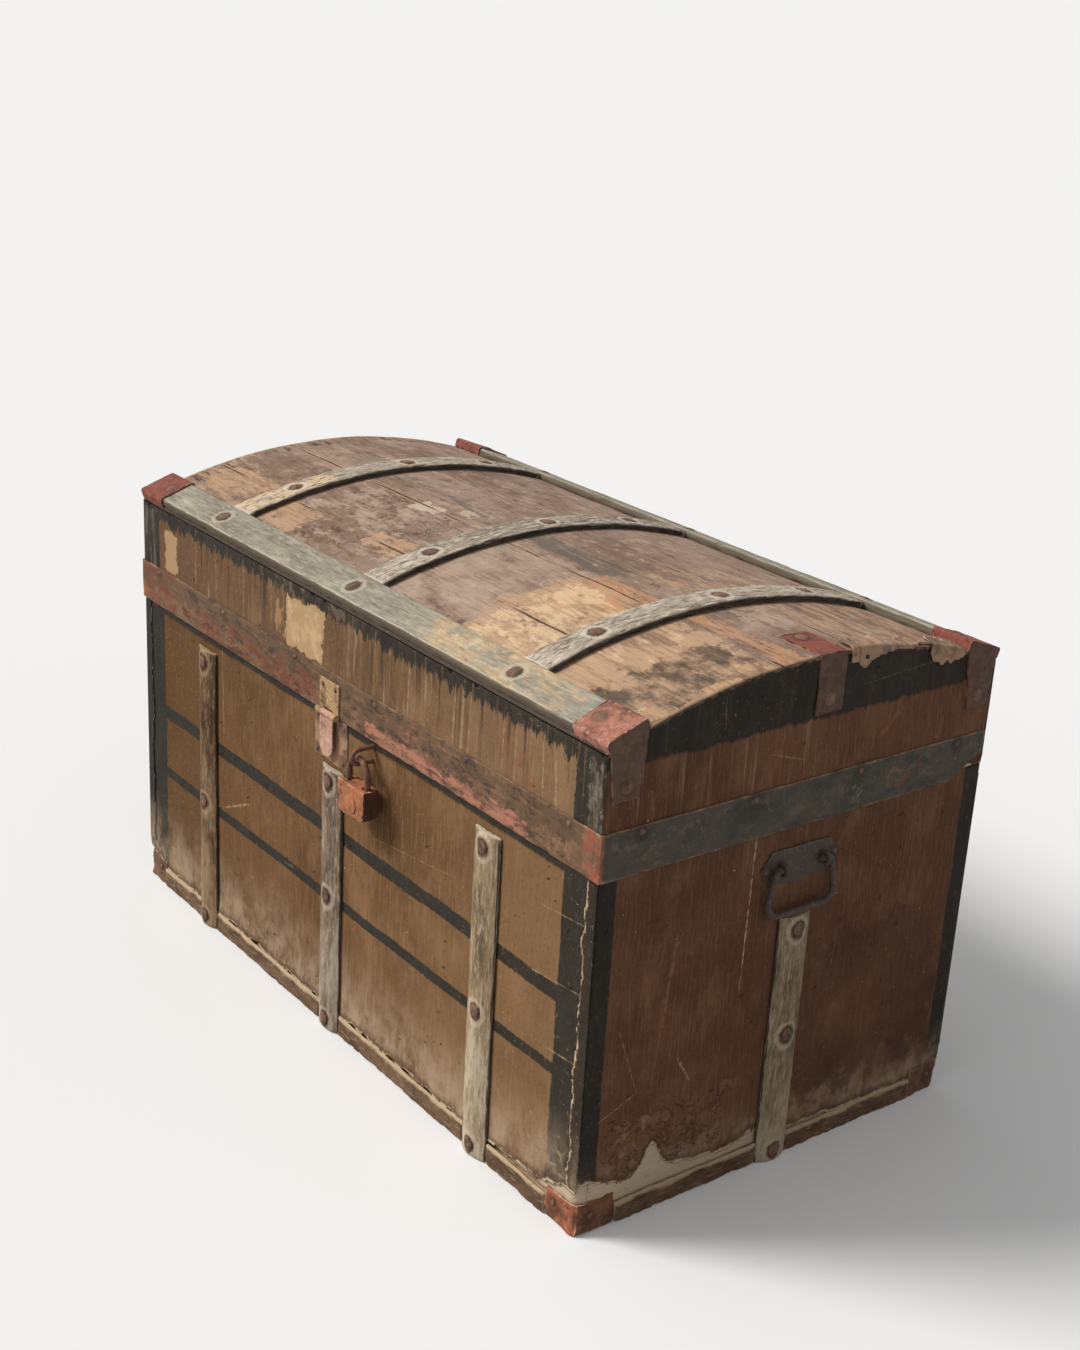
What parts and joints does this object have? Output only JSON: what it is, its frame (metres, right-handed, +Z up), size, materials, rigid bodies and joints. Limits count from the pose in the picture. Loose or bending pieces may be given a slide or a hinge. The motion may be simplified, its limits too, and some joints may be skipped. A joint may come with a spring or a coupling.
{
  "type": "dome top trunk",
  "caption": "Old dome top travel trunk: canvas covered wooden chest with a hinged arched lid, wooden slats and hoops, iron clamps, end bail handles, hasp and padlock.",
  "frame": {"origin": "middle of the base on the floor", "axes": "+Z up, +X along the length to the right as seen from the front, the front faces -Y"},
  "size_m": [0.8814, 0.5207, 0.5262],
  "materials": {
    "pine_boards": "dry old pine",
    "weathered_wood": "grey weathered wood",
    "painted_canvas": "worn paint on canvas",
    "band_iron": "painted sheet iron, rusted",
    "rusty_iron": "rusty sheet iron",
    "padlock_iron": "rusty iron",
    "nail_iron": "rusty nails",
    "binding_fibre": "worn edge binding"
  },
  "bodies": {
    "chest": {"base_binding": "binding_fibre", "base_boards": "pine_boards", "base_cap_front_left": "rusty_iron", "base_cap_front_right": "rusty_iron", "base_cap_rear_left": "rusty_iron", "base_cap_rear_right": "rusty_iron", "chest_canvas": "painted_canvas", "chest_iron_nails": "nail_iron", "front_slat_left": "weathered_wood", "front_slat_middle": "weathered_wood", "front_slat_right": "weathered_wood", "front_wall_boards": "pine_boards", "handle_eyes": "rusty_iron", "handle_plate_left": "rusty_iron", "handle_plate_right": "rusty_iron", "hinge_chest_leaf_left": "rusty_iron", "hinge_chest_leaf_right": "rusty_iron", "hinge_pins": "nail_iron", "left_end_slat": "weathered_wood", "left_wall_boards": "pine_boards", "lock_plate": "rusty_iron", "padlock_staple": "rusty_iron", "rear_slat_left": "weathered_wood", "rear_slat_middle": "weathered_wood", "rear_slat_right": "weathered_wood", "rear_wall_boards": "pine_boards", "right_end_slat": "weathered_wood", "right_wall_boards": "pine_boards", "slat_nails": "nail_iron"},
    "lid": {"batten_front": "weathered_wood", "batten_rear": "weathered_wood", "corner_clamp_front_left": "rusty_iron", "corner_clamp_front_right": "rusty_iron", "corner_clamp_rear_left": "rusty_iron", "corner_clamp_rear_right": "rusty_iron", "dome_canvas": "painted_canvas", "dome_clamp": "rusty_iron", "dome_staves": "pine_boards", "hasp_pin": "nail_iron", "hasp_plate": "rusty_iron", "hinge_lid_leaf_left": "rusty_iron", "hinge_lid_leaf_right": "rusty_iron", "hoop_left": "weathered_wood", "hoop_middle": "weathered_wood", "hoop_right": "weathered_wood", "lid_band": "band_iron", "lid_canvas": "painted_canvas", "lid_front_board": "pine_boards", "lid_iron_nails": "nail_iron", "lid_left_end": "pine_boards", "lid_rear_board": "pine_boards", "lid_right_end": "pine_boards", "lid_wood_nails": "nail_iron"},
    "hasp": {"hasp_strap": "rusty_iron"},
    "left_bail": {"bail_left": "rusty_iron"},
    "right_bail": {"bail_right": "rusty_iron"},
    "shackle": {"padlock_shackle": "padlock_iron"},
    "padlock": {"padlock_case": "padlock_iron", "padlock_rivet": "nail_iron"}
  },
  "joints": [
    {"name": "lid_swing", "type": "hinge", "parent": "chest", "child": "lid", "pos_m": [0, 0.243, 0.366], "axis": [-1, 0, 0], "range_deg": [0, 100]},
    {"name": "hasp_swing", "type": "hinge", "parent": "lid", "child": "hasp", "pos_m": [-0.006, -0.2428, 0.358], "axis": [-1, 0, 0], "range_deg": [0, 150]},
    {"name": "left_bail_swing", "type": "hinge", "parent": "chest", "child": "left_bail", "pos_m": [-0.4332, 0, 0.318], "axis": [0, 1, 0], "range_deg": [0, 165]},
    {"name": "right_bail_swing", "type": "hinge", "parent": "chest", "child": "right_bail", "pos_m": [0.4332, 0, 0.318], "axis": [0, -1, 0], "range_deg": [0, 165]},
    {"name": "padlock_swing", "type": "hinge", "parent": "chest", "child": "shackle", "pos_m": [0.072, -0.2527, 0.3406], "axis": [-1, 0, 0], "range_deg": [0, 80]},
    {"name": "padlock_open", "type": "hinge", "parent": "shackle", "child": "padlock", "pos_m": [0.0555, -0.2527, 0.3076], "axis": [0, 1, 0], "range_deg": [0, 60]}
  ]
}
